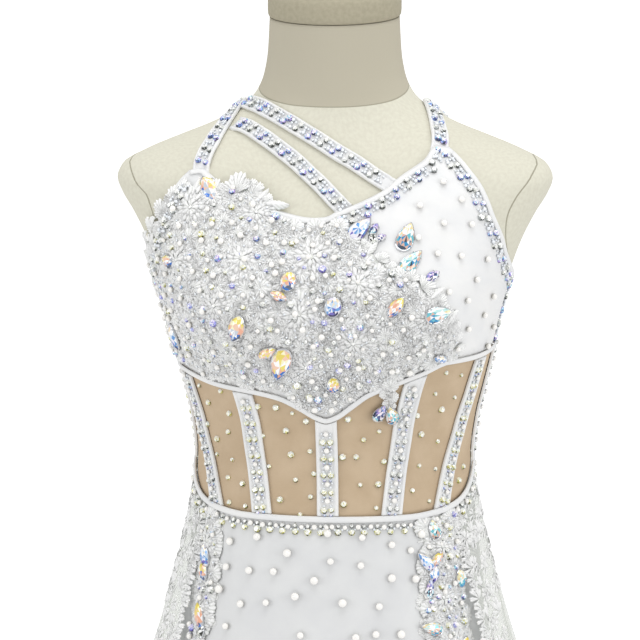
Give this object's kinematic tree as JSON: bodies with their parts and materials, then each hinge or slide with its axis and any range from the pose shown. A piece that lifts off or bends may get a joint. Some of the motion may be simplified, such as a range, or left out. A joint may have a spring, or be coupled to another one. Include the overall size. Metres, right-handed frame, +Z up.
{
  "type": "dress and dress form",
  "caption": "White lyrical dance dress with crossed straps, mesh midriff, beaded lace and an open sheer overskirt, on a limbless dress form with a round base.",
  "frame": {"origin": "centre of the stand base's underside, on the floor", "axes": "+Z up, the dress faces -Y, the wearer's left is +X"},
  "size_m": [0.5108, 0.4529, 1.2483],
  "materials": {
    "form_cloth": "matt linen",
    "stand_metal": "brushed",
    "white_jersey": "soft satin stretch jersey",
    "nude_mesh": "fine stretch mesh over a nude lining",
    "sheer_net": "sheer net",
    "corded_lace": "corded floral lace with stones"
  },
  "bodies": {
    "root": {"form_torso": "form_cloth", "form_neck_cap": "form_cloth", "form_flange": "stand_metal", "form_stem": "stand_metal", "form_base": "stand_metal", "bodice_front_lace_side": "white_jersey", "bodice_front_plain_side": "white_jersey", "bodice_back_band": "white_jersey", "strap_shoulder_lace_side": "white_jersey", "strap_shoulder_plain_side": "white_jersey", "strap_diagonal_upper": "white_jersey", "strap_diagonal_lower": "white_jersey", "strip_centre": "white_jersey", "strip_front_plain_side": "white_jersey", "strip_front_lace_side": "white_jersey", "strip_side_front_plain_side": "white_jersey", "strip_side_front_lace_side": "white_jersey", "strip_side_plain_side": "white_jersey", "strip_side_lace_side": "white_jersey", "binding_cup_hem": "white_jersey", "binding_waist": "white_jersey", "binding_neckline": "white_jersey", "binding_armhole": "white_jersey", "underskirt_front": "white_jersey", "underskirt_back": "white_jersey", "midriff_mesh_front": "nude_mesh", "midriff_mesh_back": "nude_mesh", "overskirt_side_plain_side": "sheer_net", "overskirt_back_plain_side": "sheer_net", "overskirt_back_lace_side": "sheer_net", "overskirt_side_lace_side": "sheer_net", "lace_bodice": "corded_lace", "lace_hip_plain_side": "corded_lace", "lace_hip_lace_side": "corded_lace"}
  },
  "joints": []
}
